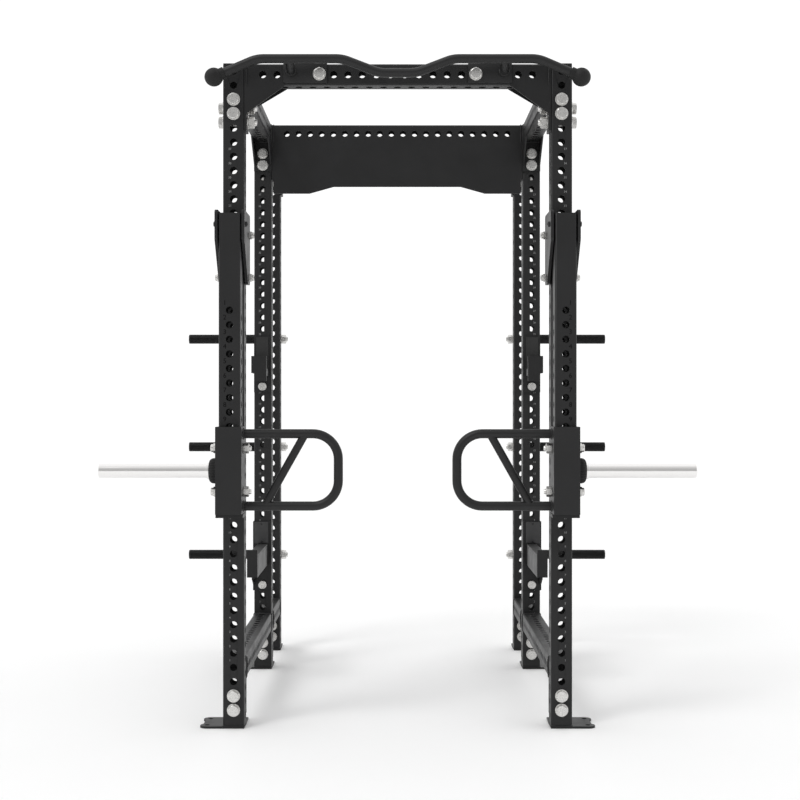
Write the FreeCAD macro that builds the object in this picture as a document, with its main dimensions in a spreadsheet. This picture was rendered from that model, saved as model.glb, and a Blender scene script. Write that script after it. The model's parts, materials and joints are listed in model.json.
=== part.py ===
import FreeCAD, Part
import os
import re
import Sketcher

# Power cage with two swinging lever arms, in millimetres.
# X is across the cage, Y runs from front to back, Z is up, and the floor is Z = 0.

sizes = {
    # square tube frame
    "tube_width": 75, "tube_wall": 3, "tube_round": 6,
    "hole_size": 25, "hole_pitch": 50,
    "inside_width": 1080, "front_bay": 1080, "rear_bay": 400, "frame_height": 2340,
    "face_hole_height": 65, "side_hole_height": 40,
    # foot plates
    "foot_thick": 8, "foot_ear": 25, "foot_reach": 95.5, "foot_spacing": 105,
    "foot_hole": 18, "foot_front": 2, "foot_tongue": 16,
    # joints of the frame
    "end_plate": 8, "end_plate_drop": 25, "cross_plate_drop": 34.5,
    "gusset_length": 137, "gusset_drop": 99, "gusset_thick": 6, "gusset_root": 10,
    "gusset_step": 18,
    "cross_bolt_low": 200, "beam_bolt_low": 175, "beam_bolt_gap": 50, "low_beam_height": 240,
    "bolt_size": 24, "bolt_head": 36, "bolt_head_thick": 15, "washer_size": 46, "washer_thick": 4,
    "nut_thick": 21.5, "thread_end": 8, "thread_slack": 0.1,
    # end caps of the uprights
    "cap_lip": 2.5, "cap_margin": 1, "cap_depth": 18, "cap_slack": 1,
    # header plate
    "sign_thick": 8, "sign_low": 295, "sign_rise": 29, "sign_flat_half": 273, "sign_slope_half": 377,
    # pull-up bar
    "bar_size": 32, "bar_wall": 3, "bar_ahead": 85, "bar_top": 1.5, "bar_dip": 49,
    "bar_dip_half": 64, "bar_rise_half": 192, "bar_bend_half": 488, "bar_end_half": 636.5,
    "bar_end_drop": 63.5, "bar_bend": 120, "ball_size": 65,
    "mount_plate": 8, "mount_low": 68, "mount_inner": 248, "mount_outer": 402, "mount_tab": 27,
    "mount_tab_rise": 4, "mount_bolt_half": 275, "mount_stub_half": 375, "stub_low": 30,
    # lever arms
    "arm_low": 764, "arm_high": 1800, "arm_gap": 55, "arm_top_hole": 1465, "arm_hole_count": 14,
    "arm_side_hole": 1440, "pivot_height": 1765, "pivot_size": 16, "pivot_slack": 0.05,
    "pivot_bush": 34, "pivot_head": 19, "pivot_head_thick": 8, "thrust_washer": 40, "thrust_slack": 0.3,
    "stop_width": 94, "stop_thick": 12, "stop_depth": 94,
    "bracket_thick": 10, "bracket_gap": 4, "bracket_top": 47, "bracket_bottom": 200,
    "bracket_shoulder": 57, "bracket_toe": 3, "bracket_back": 70, "bracket_round": 14,
    "bracket_bolt": 16, "bracket_bolt_head": 24, "bracket_bolt_thick": 18, "bracket_bolt_high": 1740,
    "bracket_bolt_low": 1590, "bracket_hole_slack": 0.5, "liner_margin": 8,
    # carriages with handles and weight sleeves
    "carriage_width": 90, "carriage_low": 765, "carriage_high": 1065, "carriage_wall": 6,
    "carriage_front": 168, "carriage_bolt": 20, "carriage_bolt_head": 30,
    "carriage_bolt_thick": 20.5, "carriage_nut": 16, "carriage_washer": 37, "carriage_washer_thick": 3,
    "carriage_bolt_offset": 75,
    "handle_size": 32, "handle_wall": 3, "handle_reach": 327.5, "handle_height": 250,
    "handle_bend": 88, "brace_size": 28, "brace_top": 213, "brace_bottom": 72,
    "sleeve_size": 50, "sleeve_wall": 5, "sleeve_length": 409.5, "sleeve_drop": 3, "collar_size": 58,
    "collar_thick": 8, "bumper_size": 88, "bumper_thick": 28.5, "bumper_chamfer": 5,
    "bumper_slack": 0.2,
    # storage pegs
    "peg_size": 42.4, "peg_length": 350, "peg_low": 440, "peg_spacing": 500, "peg_wall": 3,
    # bar cups
    "cup_low": 1190, "cup_high": 1433, "cup_plate": 8, "cup_shelf_low": 1260, "cup_shelf_high": 1284,
    "cup_depth": 110, "cup_lip_low": 1237, "cup_lip_high": 1343.5, "cup_lip_thick": 10,
    "cup_width": 52, "cup_ear_low": 1271, "cup_pin_height": 1215,
    "cup_liner": 6, "cup_inner_offset": 24.5, "cup_ear_thick": 12,
    # safety arms
    "safety_low": 340, "safety_high": 635, "safety_width": 42, "safety_beam_low": 450,
    "safety_beam_high": 532, "safety_reach": 476, "safety_liner": 8, "safety_pin_height": 365,
    "safety_gusset": 60, "safety_gusset_tip": 55, "safety_wall": 4,
    "safety_lip": 560, "safety_lip_thick": 8,
    "ear_thick": 4, "ear_depth": 45, "ear_slack": 0.3,
    "pad_width": 60, "pad_low": 542, "pad_high": 634, "pad_thick": 6, "pad_inner_offset": 24.5,
    "screw_size": 9, "screw_thick": 2.5, "screw_edge": 8,
    # lock pins
    "pin_size": 24, "pin_head": 35, "pin_head_thick": 20, "pin_length": 92,
}

doc = FreeCAD.newDocument("power_cage")
sheet = doc.addObject("Spreadsheet::Sheet", "dims")
for row, (word, size) in enumerate(sizes.items(), start=1):
    sheet.set(f"A{row}", word)
    sheet.set(f"B{row}", str(size))
    sheet.setAlias(f"B{row}", word)
doc.recompute()

alias_pattern = re.compile(r"\b(" + "|".join(sorted(sizes, key=len, reverse=True)) + r")\b")
Vector = FreeCAD.Vector
turns = {
    "X": FreeCAD.Rotation(Vector(0, 1, 0), 90),
    "Y": FreeCAD.Rotation(Vector(1, 0, 0), -90),
    "Z": FreeCAD.Rotation(),
}
nodes = []

# Places that several pieces share, as expressions of the driving sizes.
post_x = "(inside_width + tube_width)/2"
rear_end = "(2*tube_width + front_bay + rear_bay + 2*foot_ear + foot_spacing - foot_front)"
front_y = f"((carriage_front - {rear_end})/2)"
middle_y = f"({front_y} + tube_width + front_bay)"
rear_y = f"({middle_y} + tube_width + rear_bay)"
post_rows = {"front": front_y, "middle": middle_y, "rear": rear_y}
top_beam_z = "(frame_height - tube_width/2)"
arm_y = f"({front_y} - arm_gap - tube_width/2)"
carriage_z = "((carriage_low + carriage_high)/2)"
carriage_rear = f"({front_y} - arm_gap + carriage_wall)"
bracket_in = "(tube_width/2 + bracket_gap)"


def full(expression):
    return alias_pattern.sub(r"dims.\1", str(expression))


def value(expression):
    result = sheet.evalExpression(full(expression))
    return float(getattr(result, "Value", result))


def bind(item, **expressions):
    for name, expression in expressions.items():
        item.setExpression(name, full(expression))


def put(item, x=0, y=0, z=0, turn="Z"):
    item.Placement = FreeCAD.Placement(Vector(), turns[turn])
    for letter, place in zip("xyz", (x, y, z)):
        item.setExpression("Placement.Base." + letter, full(place))
    return item


def box(x_range, y_range, z_range):
    item = doc.addObject("Part::Box", "block")
    bind(item, Length=f"({x_range[1]}) - ({x_range[0]})", Width=f"({y_range[1]}) - ({y_range[0]})",
         Height=f"({z_range[1]}) - ({z_range[0]})")
    return put(item, x_range[0], y_range[0], z_range[0])


def rod(diameter, length, x, y, z, turn="Z"):
    item = doc.addObject("Part::Cylinder", "rod")
    bind(item, Radius=f"({diameter})/2", Height=length)
    return put(item, x, y, z, turn)


def hexagon(across_flats, length, x, y, z, turn="Z"):
    item = doc.addObject("Part::Prism", "hexagon")
    item.Polygon = 6
    bind(item, Circumradius=f"({across_flats})/2/cos(30)", Height=length)
    return put(item, x, y, z, turn)


def fuse(*pieces):
    item = doc.addObject("Part::MultiFuse", "joined")
    item.Shapes = list(pieces)
    item.Refine = True
    return item


def cut(base, *tools):
    item = doc.addObject("Part::Cut", "cut")
    item.Base = base
    item.Tool = tools[0] if len(tools) == 1 else fuse(*tools)
    return item


def group(pieces):
    item = doc.addObject("Part::Compound", "pieces")
    item.Links = pieces
    return item


def mirrored(source):
    item = doc.addObject("Part::Mirroring", "mirrored")
    item.Source = source
    item.Normal = Vector(1, 0, 0)
    return item


def node(item, label):
    item.Label = label
    nodes.append(item)
    return item


def both_sides(label, item):
    """The right piece and its mirror image on the left."""
    node(item, label + "_right")
    node(mirrored(item), label + "_left")


def new_body(name):
    return doc.addObject("PartDesign::Body", name)


def new_sketch(body, role):
    plane = next(part for part in body.Origin.OriginFeatures if part.Role == role)
    sketch = body.newObject("Sketcher::SketchObject", "outline")
    sketch.AttachmentSupport = (plane, [""])
    sketch.MapMode = "FlatFace"
    return sketch


def fix_point(sketch, geometry, end, x, y):
    for kind, place in (("DistanceX", x), ("DistanceY", y)):
        index = sketch.addConstraint(Sketcher.Constraint(kind, -1, 1, geometry, end, value(place)))
        sketch.setExpression(f"Constraints[{index}]", full(place))


def fix_radius(sketch, geometry, radius):
    index = sketch.addConstraint(Sketcher.Constraint("Radius", geometry, value(radius)))
    sketch.setExpression(f"Constraints[{index}]", full(radius))


def add_polygon(sketch, points):
    places = [Vector(value(x), value(y), 0) for x, y in points]
    first = sketch.GeometryCount
    for start, end in zip(places, places[1:] + places[:1]):
        sketch.addGeometry(Part.LineSegment(start, end))
    for index, (x, y) in enumerate(points):
        following = first + (index + 1) % len(points)
        sketch.addConstraint(Sketcher.Constraint("Coincident", first + index, 2, following, 1))
        fix_point(sketch, first + index, 1, x, y)


def add_circle(sketch, diameter, x="0", y="0"):
    index = sketch.addGeometry(Part.Circle(Vector(value(x), value(y), 0), Vector(0, 0, 1), value(diameter)/2))
    fix_radius(sketch, index, f"({diameter})/2")
    fix_point(sketch, index, 3, x, y)


def add_bent_path(sketch, points, bend):
    """Straight runs through the points, joined by tangent arcs of one radius."""
    places = [Vector(value(x), value(y), 0) for x, y in points]
    radius = value(bend)
    arcs = []
    starts, ends = [places[0]], []
    for before, corner, after in zip(places, places[1:], places[2:]):
        back = (before - corner).normalize()
        ahead = (after - corner).normalize()
        half_angle = back.getAngle(ahead)/2
        reach = radius/_tan(half_angle)
        centre = corner + (back + ahead).normalize()*(radius/_sin(half_angle))
        tangent_in, tangent_out = corner + back*reach, corner + ahead*reach
        middle = centre + (corner - centre).normalize()*radius
        arcs.append(Part.Arc(tangent_in, middle, tangent_out))
        ends.append(tangent_in)
        starts.append(tangent_out)
    ends.append(places[-1])
    lines = [sketch.addGeometry(Part.LineSegment(start, end)) for start, end in zip(starts, ends)]
    fix_point(sketch, lines[0], 1, *points[0])
    fix_point(sketch, lines[-1], 2, *points[-1])
    for index, arc in enumerate(arcs):
        bow = sketch.addGeometry(arc)
        at_in = 1 if (sketch.getPoint(bow, 1) - ends[index]).Length < 1e-6 else 2
        sketch.addConstraint(Sketcher.Constraint("Tangent", lines[index], 2, bow, at_in))
        sketch.addConstraint(Sketcher.Constraint("Tangent", lines[index + 1], 1, bow, 3 - at_in))
        fix_radius(sketch, bow, bend)
        corner = sketch.addGeometry(Part.Point(places[index + 1]), True)
        fix_point(sketch, corner, 1, *points[index + 1])
        sketch.addConstraint(Sketcher.Constraint("PointOnObject", corner, 1, lines[index]))
        sketch.addConstraint(Sketcher.Constraint("PointOnObject", corner, 1, lines[index + 1]))


def _sin(angle):
    return sheet.evalExpression(f"sin({angle} rad)")


def _tan(angle):
    return sheet.evalExpression(f"tan({angle} rad)")


def pad(body, sketch, length, both_ways=False):
    item = body.newObject("PartDesign::Pad", "pad")
    item.Profile = sketch
    if both_ways:
        item.SideType = "Symmetric"
    bind(item, Length=length)
    return item


def pipe(name, points, bend, diameter, wall):
    """Bent round tube whose path lies in the XZ plane and starts along X."""
    body = new_body(name)
    path = new_sketch(body, "XZ_Plane")
    add_bent_path(path, points, bend)
    section = new_sketch(body, "YZ_Plane")
    add_circle(section, diameter, "0", points[0][1])
    add_circle(section, f"({diameter}) - 2*({wall})", "0", points[0][1])
    item = body.newObject("PartDesign::AdditivePipe", "pipe")
    item.Profile = section
    item.Spine = path
    return body, item


def plate(name, role, points, thickness, rounded=()):
    """Flat plate padded from an outline in one of the origin planes."""
    body = new_body(name)
    sketch = new_sketch(body, role)
    add_polygon(sketch, points)
    item = pad(body, sketch, thickness)
    if rounded:
        doc.recompute()
        corners = [sketch.Placement.multVec(Vector(value(points[i][0]), value(points[i][1]), 0))
                   for i in rounded]
        normal = sketch.Placement.Rotation.multVec(Vector(0, 0, 1))
        picked = []
        for number, edge in enumerate(item.Shape.Edges, start=1):
            ends = [vertex.Point for vertex in edge.Vertexes]
            along = (ends[1] - ends[0]).normalize() if len(ends) == 2 else Vector()
            aside = min((ends[0] - c).cross(normal).Length for c in corners)
            if abs(along.dot(normal)) > 0.99 and aside < 0.01:
                picked.append(f"Edge{number}")
        fillet = body.newObject("PartDesign::Fillet", "rounding")
        fillet.Base = (item, picked)
        bind(fillet, Radius="bracket_round")
    return body


def hole_row(body, role, first, count):
    """Round holes right through the tube, one pitch apart along Z."""
    sketch = new_sketch(body, role)
    add_circle(sketch, "hole_size", "0", first)
    pocket = body.newObject("PartDesign::Pocket", "hole")
    pocket.Profile = sketch
    pocket.Type = "ThroughAll"
    pocket.SideType = "Symmetric"
    row = body.newObject("PartDesign::LinearPattern", "holes")
    row.Originals = [pocket]
    axis = next(part for part in body.Origin.OriginFeatures if part.Role == "Z_Axis")
    row.Direction = (axis, [""])
    row.Occurrences = count
    bind(row, Length=f"hole_pitch*{count - 1}")
    body.Tip = row


def rounded_square(sketch, width, radius):
    """Square outline about the origin, with an arc at each corner."""
    half, inner = f"({width})/2", f"(({width})/2 - ({radius}))"
    lines, arcs = [], []
    h, r = value(half), value(radius)
    i = h - r
    corners = [(1, 1), (-1, 1), (-1, -1), (1, -1)]
    for number, (sx, sy) in enumerate(corners):
        centre = Vector(sx*i, sy*i, 0)
        circle = Part.Circle(centre, Vector(0, 0, 1), r)
        step = 3.141592653589793/2
        arcs.append(sketch.addGeometry(Part.ArcOfCircle(circle, number*step, (number + 1)*step)))
    for number in range(4):
        a, b = arcs[number], arcs[(number + 1) % 4]
        lines.append(sketch.addGeometry(Part.LineSegment(sketch.getPoint(a, 2), sketch.getPoint(b, 1))))
        sketch.addConstraint(Sketcher.Constraint("Coincident", a, 2, lines[-1], 1))
        sketch.addConstraint(Sketcher.Constraint("Coincident", lines[-1], 2, b, 1))
    for number, (sx, sy) in enumerate(corners):
        fix_point(sketch, arcs[number], 3, f"{sx}*{inner}", f"{sy}*{inner}")
        fix_radius(sketch, arcs[number], radius)


def square_tube(length, face_holes, side_holes):
    """Tube standing on the XY plane, with through holes along Y and along X."""
    body = new_body("tube")
    sketch = new_sketch(body, "XY_Plane")
    rounded_square(sketch, "tube_width", "tube_round")
    rounded_square(sketch, "tube_width - 2*tube_wall", "tube_round - tube_wall")
    pad(body, sketch, length)
    hole_row(body, "XZ_Plane", *face_holes)
    hole_row(body, "YZ_Plane", *side_holes)
    return body


def hole_count(length):
    return int(value(length)//value("hole_pitch"))


# ---- uprights, their feet and caps

def make_upright(y):
    count = hole_count("frame_height - face_hole_height") + 1
    tube = square_tube("frame_height - foot_thick", ("face_hole_height - foot_thick", count),
                       ("side_hole_height - foot_thick", count))
    return put(tube, post_x, f"{y} + tube_width/2", "foot_thick")


def make_foot(y):
    ear_x = f"{post_x} + foot_reach"
    ears_y = [f"{y} - foot_front + foot_ear", f"{y} - foot_front + foot_ear + foot_spacing"]
    sole = box((f"{post_x} - tube_width/2", ear_x),
               (f"{y} - foot_front", f"{y} - foot_front + 2*foot_ear + foot_spacing"), (0, "foot_thick"))
    ears = [rod("2*foot_ear", "foot_thick", ear_x, ear_y, 0) for ear_y in ears_y]
    holes = [rod("foot_hole", "foot_thick", ear_x, ear_y, 0) for ear_y in ears_y]
    tongue = box((ear_x, f"{ear_x} + foot_tongue"), ears_y, (0, "foot_thick"))
    return cut(fuse(sole, tongue, *ears), *holes)


def make_cap(y):
    lip = ("tube_width/2 - cap_margin", "frame_height", "frame_height + cap_lip")
    plug = ("tube_width/2 - tube_wall - cap_slack", "frame_height - cap_depth", "frame_height")
    blocks = [box((f"{post_x} - ({half})", f"{post_x} + ({half})"),
                  (f"{y} + tube_width/2 - ({half})", f"{y} + tube_width/2 + ({half})"), (low, high))
              for half, low, high in (lip, plug)]
    return fuse(*blocks)


for row_name, row_y in post_rows.items():
    both_sides("upright_" + row_name, make_upright(row_y))
feet = [make_foot(row_y) for row_y in post_rows.values()]
node(group(feet + [mirrored(foot) for foot in feet]), "foot_plates")
caps = [make_cap(row_y) for row_y in post_rows.values()]
node(group(caps + [mirrored(cap) for cap in caps]), "upright_caps")


# ---- crossmembers and side beams: a tube, two end plates and four gussets

plate_drops = {"cross_bolt_low": "cross_plate_drop", "beam_bolt_low": "end_plate_drop"}


def bolt_heights(top, first_drop):
    return [f"({top}) - {first_drop}", f"({top}) - {first_drop} + beam_bolt_gap"]


def make_beam(length, top, bolt_drop, extra=(), gusseted=True, far_step="0"):
    """Beam along X about the origin; its tube's centre line is at Y = 0.

    The gussets on its far side are shallower by the step.
    """
    inner = f"(({length}) - 2*end_plate)"
    holes = 2*(hole_count(f"({inner})/2 - hole_size/2 - hole_pitch/2") + 1)
    top_holes = 2*hole_count(f"({inner})/2 - hole_size/2") + 1
    tube = square_tube(inner, (f"{inner}/2 - hole_pitch*{holes - 1}/2", holes),
                       (f"{inner}/2 - hole_pitch*{top_holes - 1}/2", top_holes))
    put(tube, f"-{inner}/2", 0, f"({top}) - tube_width/2", "X")
    half = "tube_width/2"
    lowest = f"({top}) - {bolt_drop} - {plate_drops[bolt_drop]}"
    plates = []
    for low, high in ((f"-({length})/2", f"-{inner}/2"), (f"{inner}/2", f"({length})/2")):
        blank = box((low, high), (f"-{half}", half), (lowest, top))
        heights = bolt_heights(top, bolt_drop)
        if not gusseted:
            heights.append(f"({top}) - {bolt_drop} + 2*beam_bolt_gap")
        plates.append(cut(blank, *[rod("hole_size", "end_plate", low, 0, height, "X") for height in heights]))
    gussets = []
    below = f"({top}) - tube_width"
    for side in (-1, 1) if gusseted else ():
        for back, drop in ((f"-{half} + gusset_thick", "gusset_drop"), (half, f"(gusset_drop - {far_step})")):
            outline = [(f"{side}*{inner}/2", f"{below} + gusset_root"),
                       (f"{side}*({inner}/2 - gusset_length)", f"{below} + gusset_root"),
                       (f"{side}*({inner}/2 - gusset_length)", below),
                       (f"{side}*{inner}/2", f"{below} - {drop}")]
            gussets.append(put(plate("gusset", "XZ_Plane", outline, "gusset_thick"), 0, back, 0))
    return fuse(tube, *plates, *gussets, *extra)


def place_beam(beam, y, turned=False):
    moved = doc.addObject("Part::Compound", "beam")
    moved.Links = [beam]
    if turned:
        moved.Placement = FreeCAD.Placement(Vector(), FreeCAD.Rotation(Vector(0, 0, 1), 90))
        moved.setExpression("Placement.Base.x", full(post_x))
    moved.setExpression("Placement.Base.y", full(y))
    return moved


def make_sign():
    top = "frame_height - tube_width + gusset_root"
    low = "frame_height - sign_low"
    edge = "inside_width/2 - end_plate"
    right = [(edge, top), (edge, low), ("sign_slope_half", low),
             ("sign_flat_half", f"{low} + sign_rise")]
    outline = right + [(f"-({x})", z) for x, z in reversed(right)]
    return put(plate("sign", "XZ_Plane", outline, "sign_thick"), 0, "sign_thick - tube_width/2", 0)


for row_name in ("front", "rear"):
    beam = make_beam("inside_width", "frame_height", "cross_bolt_low", far_step="gusset_step")
    node(place_beam(beam, f"{post_rows[row_name]} + tube_width/2"), "crossmember_" + row_name)
header = make_beam("inside_width", "frame_height", "cross_bolt_low", [make_sign()])
node(place_beam(header, f"{middle_y} + tube_width/2"), "header_crossmember")

bays = {
    "front": ("front_bay", f"{front_y} + tube_width + front_bay/2"),
    "rear": ("rear_bay", f"{middle_y} + tube_width + rear_bay/2"),
}
for bay_name, (length, centre) in bays.items():
    for level, top in (("top", "frame_height"), ("low", "low_beam_height")):
        beam = make_beam(length, top, "beam_bolt_low", gusseted=level == "top")
        both_sides(f"beam_{bay_name}_{level}", place_beam(beam, centre, turned=True))


# ---- frame bolts, washers and nuts

frame_bolts, frame_washers, frame_nuts = [], [], []


def bolt_through(x, y, z, grip, turn):
    """Bolt whose head side is at the given point; the grip runs along X or Y.

    A grip along X starts at the outer face and runs inwards.
    """
    inwards = -1 if turn == "X" else 1

    def along(start, length):
        low = f"({start})" if inwards == 1 else f"(-({start}) - ({length}))"
        return (f"{x} + {low}", y, z) if turn == "X" else (x, f"{y} + {low}", z)

    head = hexagon("bolt_head", "bolt_head_thick",
                   *along("-washer_thick - bolt_head_thick", "bolt_head_thick"), turn)
    shank_length = f"({grip}) + 2*washer_thick + nut_thick + thread_end"
    shank = rod("bolt_size", shank_length, *along("-washer_thick", shank_length), turn)
    frame_bolts.append(fuse(head, shank))
    for start in ("-washer_thick", grip):
        ring = rod("washer_size", "washer_thick", *along(start, "washer_thick"), turn)
        bore = rod("bolt_size + 2*thread_slack", "washer_thick", *along(start, "washer_thick"), turn)
        frame_washers.append(cut(ring, bore))
    add_nut(*along(f"({grip}) + washer_thick", "nut_thick"), turn)


def add_nut(x, y, z, turn):
    nut = hexagon("bolt_head", "nut_thick", x, y, z, turn)
    bore = rod("bolt_size + 2*thread_slack", "nut_thick", x, y, z, turn)
    frame_nuts.append(cut(nut, bore))


outer_x = f"{post_x} + tube_width/2"
for row_name in ("front", "rear"):
    for height in bolt_heights("frame_height", "cross_bolt_low"):
        bolt_through(outer_x, f"{post_rows[row_name]} + tube_width/2", height, "tube_width + end_plate", "X")
grips = {
    "front": (front_y, "tube_width + end_plate"),
    "middle": (f"{middle_y} - end_plate", "tube_width + 2*end_plate"),
    "rear": (f"{rear_y} - end_plate", "tube_width + end_plate"),
}
for start, grip in grips.values():
    for top in ("frame_height", "low_beam_height"):
        for height in bolt_heights(top, "beam_bolt_low"):
            bolt_through(post_x, start, height, grip, "Y")
bolt_through("mount_bolt_half", f"{front_y} - mount_plate", top_beam_z, "tube_width + mount_plate", "Y")


# ---- storage pegs on the rear uprights

def make_peg(z):
    y = f"{rear_y} + tube_width/2"
    skin = rod("peg_size", "peg_length", outer_x, y, z, "X")
    hollow = rod("peg_size - 2*peg_wall", "peg_length - 2*peg_wall", f"{outer_x} + peg_wall", y, z, "X")
    stud_length = "tube_width + washer_thick + nut_thick + thread_end"
    stud = rod("bolt_size", stud_length, f"{outer_x} - ({stud_length})", y, z, "X")
    washer_x = f"{outer_x} - tube_width - washer_thick"
    ring = rod("washer_size", "washer_thick", washer_x, y, z, "X")
    bore = rod("bolt_size + 2*thread_slack", "washer_thick", washer_x, y, z, "X")
    frame_washers.append(cut(ring, bore))
    add_nut(f"{washer_x} - nut_thick", y, z, "X")
    return fuse(cut(skin, hollow), stud)


pegs = [make_peg(f"peg_low + {step}*peg_spacing") for step in range(3)]
both_sides("storage_pegs", group(pegs))
for label, pieces in (("frame_bolts", frame_bolts), ("frame_washers", frame_washers),
                      ("frame_nuts", frame_nuts)):
    node(group(pieces + [mirrored(piece) for piece in pieces]), label)


# ---- pull-up bar with its two mounts and end balls

bar_y = f"({front_y} - bar_ahead)"
bar_high = "(frame_height - bar_top)"
bar_half, bar_pipe = pipe("bar", [("0", f"{bar_high} - bar_dip"), ("bar_dip_half", f"{bar_high} - bar_dip"),
                                  ("bar_rise_half", bar_high), ("bar_bend_half", bar_high),
                                  ("bar_end_half", f"{bar_high} - bar_end_drop")],
                          "bar_bend", "bar_size", "bar_wall")
whole = bar_half.newObject("PartDesign::Mirrored", "both_halves")
whole.Originals = [bar_pipe]
whole.MirrorPlane = (next(p for p in bar_half.Origin.OriginFeatures if p.Role == "YZ_Plane"), [""])
bar_half.Tip = whole
put(bar_half, 0, bar_y, 0)


def make_mount():
    low = "frame_height - mount_low"
    back = (f"{front_y} - mount_plate", front_y)
    pieces = [box(("mount_inner", "mount_outer"), back, (low, "frame_height"))]
    for tab_x in ("mount_bolt_half", "mount_stub_half"):
        pieces.append(box((f"{tab_x} - mount_tab", f"{tab_x} + mount_tab"), back,
                          (low, "frame_height + mount_tab_rise")))
    run = "(bar_ahead - mount_plate/2)"
    fall = "(stub_low - bar_top)"
    stub = rod("bar_size", f"sqrt({run}^2 + {fall}^2)", "mount_stub_half", bar_y, bar_high)
    stub.Placement.Rotation = FreeCAD.Rotation(Vector(1, 0, 0), -90)
    stub.setExpression("Placement.Rotation.Angle", full(f"-90deg - atan({fall}/{run})"))
    bolt_hole = rod("hole_size", "mount_plate", "mount_bolt_half", back[0], top_beam_z, "Y")
    return cut(fuse(*pieces, stub), bolt_hole)


mount = make_mount()
bar_bore = rod("bar_size - 2*bar_wall", "4*bar_size", "mount_stub_half - 2*bar_size", bar_y, bar_high, "X")
behind = box(("mount_inner", "mount_outer"), (front_y, f"{front_y} + bar_size"),
             ("frame_height - mount_low", "frame_height"))
mount = cut(mount, bar_bore, behind)
node(fuse(bar_half, mount, mirrored(mount)), "pull_up_bar")


def make_ball():
    ball = doc.addObject("Part::Sphere", "ball")
    bind(ball, Radius="ball_size/2")
    put(ball, "bar_end_half", bar_y, f"{bar_high} - bar_end_drop")
    return cut(ball, bar_half)


ball = make_ball()
node(group([ball, mirrored(ball)]), "pull_up_bar_balls")


# ---- lever arms: pivot brackets on the front uprights

def bracket_outline():
    top = "pivot_height + bracket_top"
    low = "pivot_height - bracket_bottom"
    front = f"{front_y} - arm_gap - tube_width"
    return [(front, top), (f"{front_y} + bracket_back", top), (f"{front_y} + bracket_back", low),
            (f"{front_y} - bracket_toe", low), (front, f"pivot_height - bracket_shoulder")]


def make_bracket_plate(x):
    body = put(plate("bracket", "YZ_Plane", bracket_outline(), "bracket_thick", range(5)), x, 0, 0)
    bolt_y = f"{front_y} + tube_width/2"
    holes = [rod("bracket_bolt + 2*bracket_hole_slack", "bracket_thick", x, bolt_y, z, "X")
             for z in ("bracket_bolt_high", "bracket_bolt_low")]
    holes.append(rod("pivot_size + 2*thread_slack", "bracket_thick", x, arm_y, "pivot_height", "X"))
    return cut(body, *holes)


def make_liner(x):
    low = "pivot_height - bracket_bottom + liner_margin"
    high = "pivot_height + bracket_top - liner_margin"
    slab = box((x, f"{x} + bracket_gap"),
               (f"{front_y} + liner_margin", f"{front_y} + bracket_back - liner_margin"), (low, high))
    holes = [rod("bracket_bolt + 2*bracket_hole_slack", "bracket_gap", x, f"{front_y} + tube_width/2", z, "X")
             for z in ("bracket_bolt_high", "bracket_bolt_low")]
    return cut(slab, *holes)


def headed_rod(diameter, head, head_thick, half_length, y, z, nut=False):
    """Bolt along X about the upright's centre, with a head outside and a nut or head inside."""
    shape = rod if head == "pivot_head" else hexagon
    shank = rod(diameter, f"2*({half_length})", f"{post_x} - ({half_length})", y, z, "X")
    heads = [shape(head, head_thick, f"{post_x} + {start}", y, z, "X")
             for start in (f"({half_length})", f"(-({half_length}) - {head_thick})")]
    return fuse(shank, *heads)


bracket_out = f"({bracket_in} + bracket_thick)"
both_sides("pivot_bracket_outer", make_bracket_plate(f"{post_x} + {bracket_in}"))
both_sides("pivot_bracket_inner", make_bracket_plate(f"{post_x} - {bracket_out}"))
liners = [make_liner(f"({post_x} + tube_width/2)"), make_liner(f"({post_x} - {bracket_in})")]
node(group(liners + [mirrored(liner) for liner in liners]), "bracket_liners")
pivot = headed_rod("pivot_size", "pivot_head", "pivot_head_thick", bracket_out, arm_y, "pivot_height")
node(group([pivot, mirrored(pivot)]), "pivot_pins")
bracket_bolts = [headed_rod("bracket_bolt", "bracket_bolt_head", "bracket_bolt_thick", bracket_out,
                            f"{front_y} + tube_width/2", z)
                 for z in ("bracket_bolt_high", "bracket_bolt_low")]
node(group(bracket_bolts + [mirrored(bolt) for bolt in bracket_bolts]), "bracket_bolts")


def make_thrust_washer(x):
    thickness = "bracket_gap - thrust_slack"
    ring = rod("thrust_washer", thickness, x, arm_y, "pivot_height", "X")
    return cut(ring, rod("pivot_size + 2*thread_slack", thickness, x, arm_y, "pivot_height", "X"))


thrust = [make_thrust_washer(f"{post_x} + tube_width/2 + thrust_slack"),
          make_thrust_washer(f"{post_x} - {bracket_in}")]
node(group(thrust + [mirrored(ring) for ring in thrust]), "thrust_washers")


# ---- lever arms: the swinging tubes

def make_arm():
    span = "hole_pitch*(arm_hole_count - 1)"
    count = int(value("arm_hole_count"))
    tube = square_tube("arm_high - arm_low", (f"arm_top_hole - {span} - arm_low", count),
                       (f"arm_side_hole - {span} - arm_low", count))
    put(tube, post_x, arm_y, "arm_low")
    bush_place = (f"{post_x} - tube_width/2", arm_y, "pivot_height", "X")
    blank = rod("pivot_bush", "tube_width", *bush_place)
    bore = rod("pivot_size + 2*pivot_slack", "tube_width", *bush_place)
    stop = box((f"{post_x} - stop_width/2", f"{post_x} + stop_width/2"),
               (f"{arm_y} - stop_depth/2", f"{arm_y} + stop_depth/2"),
               ("arm_low - stop_thick", "arm_low"))
    lid = box((f"{post_x} - tube_width/2 + tube_wall", f"{post_x} + tube_width/2 - tube_wall"),
              (f"{arm_y} - tube_width/2 + tube_wall", f"{arm_y} + tube_width/2 - tube_wall"),
              ("arm_high - tube_wall", "arm_high"))
    return cut(fuse(tube, blank, stop, lid), bore)


both_sides("lever_arm", make_arm())


# ---- carriages with handle, bumper and weight sleeve

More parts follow.
